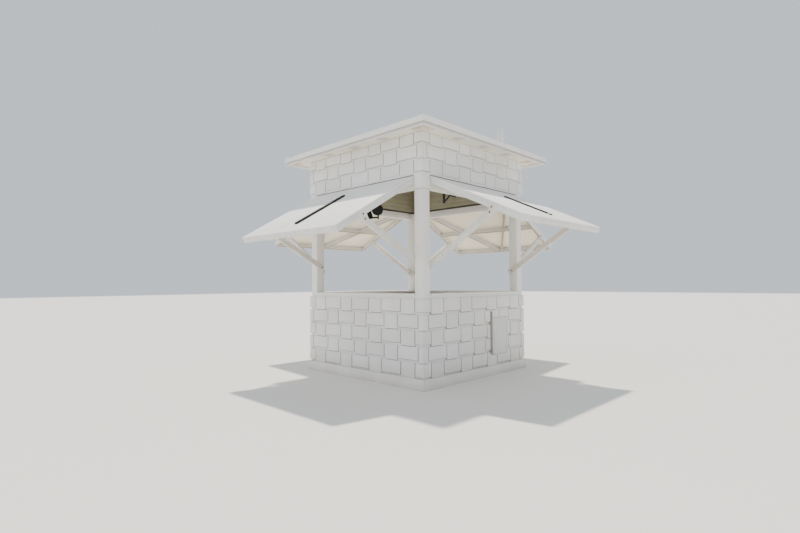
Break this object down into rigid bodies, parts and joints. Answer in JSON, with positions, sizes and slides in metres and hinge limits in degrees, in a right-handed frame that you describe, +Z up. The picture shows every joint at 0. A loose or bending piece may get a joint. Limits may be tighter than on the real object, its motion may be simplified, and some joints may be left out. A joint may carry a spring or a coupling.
{
  "type": "beach kiosk",
  "caption": "Square white timber beach kiosk with woven board walls, open serving sides under propped flaps and a low hip roof.",
  "frame": {"origin": "centre of the kiosk's square plan, on the ground", "axes": "+Z up; the front with the lock bar and flood lamps faces -Y, the side with the notice board faces +X"},
  "size_m": [5.1534, 5.0509, 3.914],
  "materials": {
    "white_paint": "white painted timber, satin and lightly worn",
    "flap_paint": "white painted boards, matt underneath",
    "dark_timber": "dark stained boards, matt",
    "roof_sheet": "pale grey roofing sheet, matt",
    "zinc_plated_steel": "dull zinc plating",
    "black_steel": "black paint, semi-gloss",
    "board_face": "blank pale board, matt",
    "bare_aluminium": "weathered, satin"
  },
  "bodies": {
    "root": {"front_base_wall": "white_paint", "right_base_wall": "white_paint", "back_base_wall": "white_paint", "left_base_wall": "white_paint", "front_right_post": "white_paint", "back_right_post": "white_paint", "back_left_post": "white_paint", "front_left_post": "white_paint", "front_right_quoins": "white_paint", "back_right_quoins": "white_paint", "back_left_quoins": "white_paint", "front_left_quoins": "white_paint", "plinth": "white_paint", "front_counter": "white_paint", "right_counter": "white_paint", "back_counter": "white_paint", "left_counter": "white_paint", "header_beams": "white_paint", "front_box_wall": "white_paint", "right_box_wall": "white_paint", "back_box_wall": "white_paint", "left_box_wall": "white_paint", "box_lining": "dark_timber", "soffit": "white_paint", "sub_fascia": "white_paint", "cap_fascia": "white_paint", "roof_deck": "roof_sheet", "front_flap_frame": "flap_paint", "right_flap_frame": "flap_paint", "back_flap_frame": "flap_paint", "left_flap_frame": "flap_paint", "front_flap_skin": "flap_paint", "right_flap_skin": "flap_paint", "back_flap_skin": "flap_paint", "left_flap_skin": "flap_paint", "front_struts": "white_paint", "right_struts": "white_paint", "back_struts": "white_paint", "left_struts": "white_paint", "strut_plates": "zinc_plated_steel", "lock_bars": "black_steel", "notice_board": "board_face", "flood_lamps": "black_steel", "iron_fittings": "black_steel", "aerial": "bare_aluminium"}
  },
  "joints": []
}
